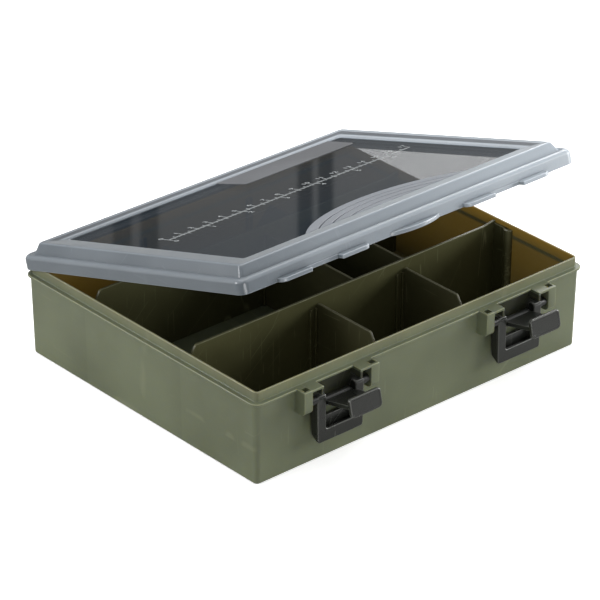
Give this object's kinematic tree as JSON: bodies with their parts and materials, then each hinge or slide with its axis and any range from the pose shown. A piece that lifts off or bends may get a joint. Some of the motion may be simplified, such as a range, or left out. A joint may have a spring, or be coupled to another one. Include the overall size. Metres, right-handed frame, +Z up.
{
  "type": "fishing tackle box",
  "caption": "Flat hinged tackle box with a smoked window lid, moulded compartment rows, loose dividers and over-centre draw latches",
  "frame": {"origin": "middle of the tub's flat base", "axes": "+X to the right seen from the front, -Y towards the latches, +Z up"},
  "size_m": [0.232, 0.2234, 0.117],
  "materials": {
    "tub": "satin olive, slightly translucent",
    "lid": "smoked clear window in a frosted frame",
    "latch": "satin black",
    "divider": "satin olive",
    "pin": "plain wire"
  },
  "bodies": {
    "tub_body": {"tub": "tub", "hinge_pin_left": "pin", "hinge_pin_right": "pin", "front_divider_left": "divider", "front_divider_right": "divider", "middle_divider_left": "divider", "middle_divider_right": "divider", "rear_divider_left": "divider", "rear_divider_right": "divider"},
    "lid_body": {"lid": "lid"},
    "lever_left_body": {"lever_left": "latch", "hook_pin_left": "pin"},
    "hook_left_body": {"hook_left": "latch"},
    "lever_right_body": {"lever_right": "latch", "hook_pin_right": "pin"},
    "hook_right_body": {"hook_right": "latch"}
  },
  "joints": [
    {"name": "lid_hinge", "type": "hinge", "parent": "tub_body", "child": "lid_body", "pos_m": [0, 0.0989, 0.0476], "axis": [-1, 0, 0], "range_deg": [-17.5, 92.5]},
    {"name": "lever_left_turn", "type": "hinge", "parent": "tub_body", "child": "lever_left_body", "pos_m": [-0.0634, -0.0983, 0.0396], "axis": [-1, 0, 0], "range_deg": [0, 100]},
    {"name": "hook_left_turn", "type": "hinge", "parent": "lever_left_body", "child": "hook_left_body", "pos_m": [-0.0634, -0.0971, 0.0358], "axis": [1, 0, 0], "range_deg": [-77, 69]},
    {"name": "lever_right_turn", "type": "hinge", "parent": "tub_body", "child": "lever_right_body", "pos_m": [0.0634, -0.0983, 0.0396], "axis": [-1, 0, 0], "range_deg": [0, 100]},
    {"name": "hook_right_turn", "type": "hinge", "parent": "lever_right_body", "child": "hook_right_body", "pos_m": [0.0634, -0.0971, 0.0358], "axis": [1, 0, 0], "range_deg": [-77, 69]}
  ]
}
